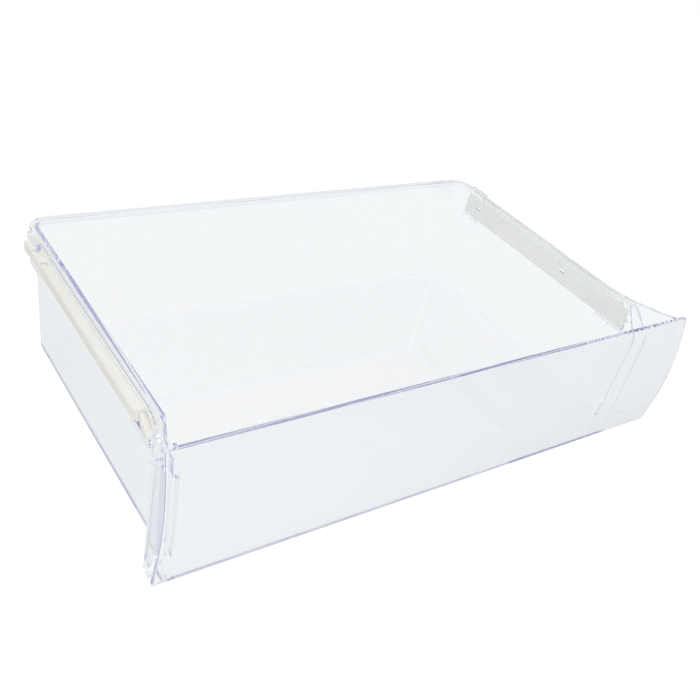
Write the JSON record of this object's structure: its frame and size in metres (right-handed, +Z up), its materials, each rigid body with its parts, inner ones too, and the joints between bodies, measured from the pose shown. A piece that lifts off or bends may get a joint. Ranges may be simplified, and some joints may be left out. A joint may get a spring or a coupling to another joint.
{
  "type": "fridge drawer",
  "caption": "Shallow clear plastic drawer tub moulded in one with a wide bowed front panel, with a slim white runner clipped under the rim on each side for sliding in a refrigerator.",
  "frame": {"origin": "centre of the drawer's bounding box in plan, on the plane that the drawer stands on", "axes": "+X to the right along the front panel, +Y to the back of the drawer, +Z up; the panel faces -Y"},
  "size_m": [0.45, 0.262, 0.102],
  "materials": {
    "clear_plastic": "clear injection-moulded polystyrene with a faint blue tint",
    "runner_plastic": "satin off-white moulded plastic"
  },
  "bodies": {
    "root": {"drawer_box": "clear_plastic", "left_runner": "runner_plastic", "right_runner": "runner_plastic"}
  },
  "joints": []
}
